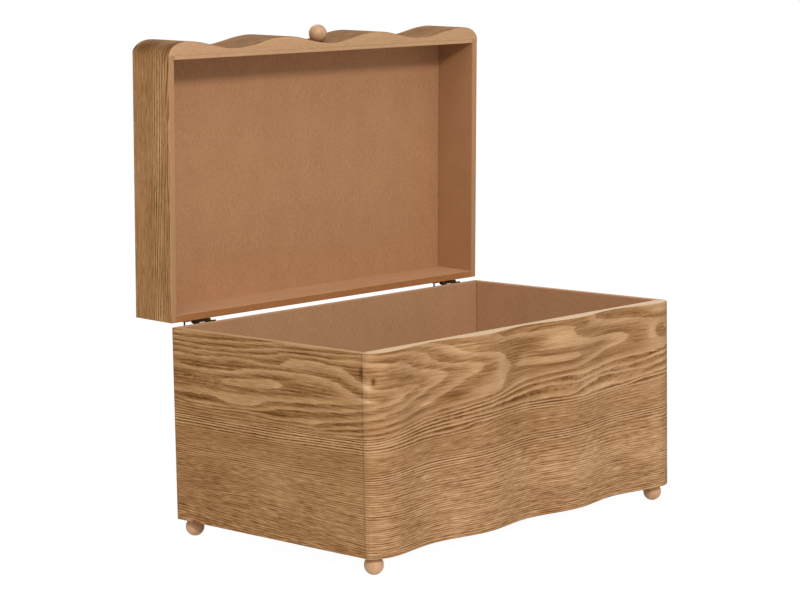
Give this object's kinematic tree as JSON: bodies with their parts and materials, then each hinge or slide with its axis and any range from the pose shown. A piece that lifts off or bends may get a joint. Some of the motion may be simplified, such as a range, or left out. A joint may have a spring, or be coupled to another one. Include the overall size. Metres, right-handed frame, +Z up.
{
  "type": "storage chest",
  "caption": "Wooden storage chest with a serpentine front, turned ball feet and a deep box lid that swings up on stop hinges and carries a ball knob",
  "frame": {"origin": "on the floor under the feet, in the middle of the box that holds the chest and its open lid", "axes": "X along the width from left to right, Y from the serpentine front at -Y to the hinged back at +Y, Z up"},
  "size_m": [0.76, 0.5624, 0.8506],
  "materials": {
    "veneer": "stained open-grain veneer, satin",
    "bare_board": "plain brown board, matte",
    "beech": "turned beech, satin",
    "dark_brass": "aged dark brass",
    "dark_steel": "blackened steel"
  },
  "bodies": {
    "chest": {"chest_side_left": "veneer", "chest_side_right": "veneer", "chest_back_board": "bare_board", "chest_base_panel": "bare_board", "chest_front_liner": "bare_board", "chest_serpentine_front": "veneer", "foot_front_left": "beech", "foot_front_right": "beech", "foot_back_left": "beech", "foot_back_right": "beech", "foot_front_left_stud": "dark_steel", "foot_front_right_stud": "dark_steel", "foot_back_left_stud": "dark_steel", "foot_back_right_stud": "dark_steel", "hinge_left_chest_leaf": "dark_brass", "hinge_left_pin": "dark_steel", "hinge_right_chest_leaf": "dark_brass", "hinge_right_pin": "dark_steel", "hinge_left_chest_screw_1": "dark_brass", "hinge_left_chest_screw_2": "dark_brass", "hinge_left_chest_screw_3": "dark_brass", "hinge_right_chest_screw_1": "dark_brass", "hinge_right_chest_screw_2": "dark_brass", "hinge_right_chest_screw_3": "dark_brass"},
    "lid": {"lid_side_left": "veneer", "lid_side_right": "veneer", "lid_back_rail": "veneer", "lid_front_liner": "bare_board", "lid_serpentine_front": "veneer", "lid_top_panel": "veneer", "lid_knob": "beech", "knob_screw": "dark_steel", "hinge_left_lid_leaf": "dark_brass", "hinge_right_lid_leaf": "dark_brass", "hinge_left_lid_screw_1": "dark_brass", "hinge_left_lid_screw_2": "dark_brass", "hinge_left_lid_screw_3": "dark_brass", "hinge_right_lid_screw_1": "dark_brass", "hinge_right_lid_screw_2": "dark_brass", "hinge_right_lid_screw_3": "dark_brass"}
  },
  "joints": [
    {"name": "lid_hinge", "type": "hinge", "parent": "chest", "child": "lid", "pos_m": [0, 0.19196, 0.3612], "axis": [1, 0, 0], "range_deg": [0, 88.5]}
  ]
}
